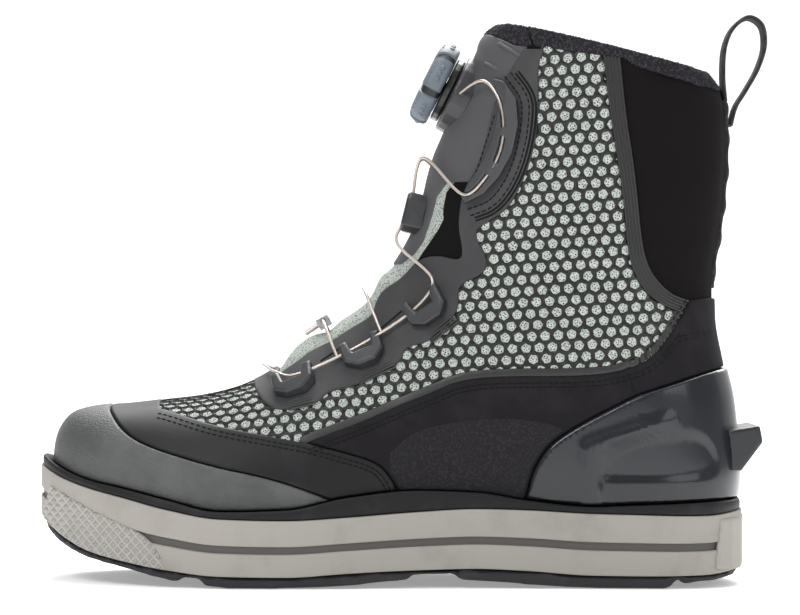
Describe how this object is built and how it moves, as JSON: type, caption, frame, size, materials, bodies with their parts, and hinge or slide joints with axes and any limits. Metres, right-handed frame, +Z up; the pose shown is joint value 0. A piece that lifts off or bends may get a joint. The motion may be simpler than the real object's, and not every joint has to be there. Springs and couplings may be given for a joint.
{
  "type": "wading boot",
  "caption": "Ankle-high wading boot with a hollow caged upper, lugged rubber sole, heel ledge, pull loop and a cable lacing dial.",
  "frame": {"origin": "on the floor under the middle of the heel tread", "axes": "+Z up, toe towards -X, outer side of the left foot towards -Y"},
  "size_m": [0.3258, 0.1147, 0.2541],
  "materials": {
    "outsole": "moulded lugged rubber",
    "midsole": "matt foam rubber",
    "toe_bumper": "knurled rubber",
    "heel_plate": "matt rubber",
    "rim": "satin rubber",
    "insole": "cloth covered foam",
    "upper": "woven cloth",
    "toe_cap": "grained leather",
    "toe_guard": "smooth leather",
    "mesh_panel": "caged textile",
    "quarter": "matt leather",
    "heel_counter": "glossy moulded plastic",
    "rib_strip_outer": "ribbed film",
    "rib_strip_inner": "ribbed film",
    "eyestay": "smooth leather",
    "collar_binding": "brushed pile",
    "tongue_binding": "brushed pile",
    "tongue": "padded mesh",
    "back_webbing": "woven webbing",
    "heel_ledge": "moulded plastic",
    "pull_loop": "woven webbing",
    "lace": "twisted steel cable",
    "tongue_guide": "moulded plastic",
    "cable_clip": "crimped metal",
    "dial_base": "moulded plastic",
    "dial_housing": "moulded plastic",
    "dial_knob": "soft touch plastic",
    "top_guide_outer": "moulded plastic",
    "guide_outer_1": "moulded plastic",
    "guide_outer_2": "moulded plastic",
    "guide_outer_3": "moulded plastic",
    "top_guide_inner": "moulded plastic",
    "guide_inner_1": "moulded plastic",
    "guide_inner_2": "moulded plastic",
    "guide_inner_3": "moulded plastic"
  },
  "bodies": {
    "root": {"outsole": "outsole", "midsole": "midsole", "toe_bumper": "toe_bumper", "heel_plate": "heel_plate", "rim": "rim", "insole": "insole", "upper": "upper", "toe_cap": "toe_cap", "toe_guard": "toe_guard", "mesh_panel": "mesh_panel", "quarter": "quarter", "heel_counter": "heel_counter", "rib_strip_outer": "rib_strip_outer", "rib_strip_inner": "rib_strip_inner", "eyestay": "eyestay", "collar_binding": "collar_binding", "tongue_binding": "tongue_binding", "tongue": "tongue", "back_webbing": "back_webbing", "heel_ledge": "heel_ledge", "pull_loop": "pull_loop", "lace": "lace", "tongue_guide": "tongue_guide", "cable_clip": "cable_clip", "dial_base": "dial_base", "dial_housing": "dial_housing", "dial_knob": "dial_knob", "top_guide_outer": "top_guide_outer", "guide_outer_1": "guide_outer_1", "guide_outer_2": "guide_outer_2", "guide_outer_3": "guide_outer_3", "top_guide_inner": "top_guide_inner", "guide_inner_1": "guide_inner_1", "guide_inner_2": "guide_inner_2", "guide_inner_3": "guide_inner_3"}
  },
  "joints": []
}
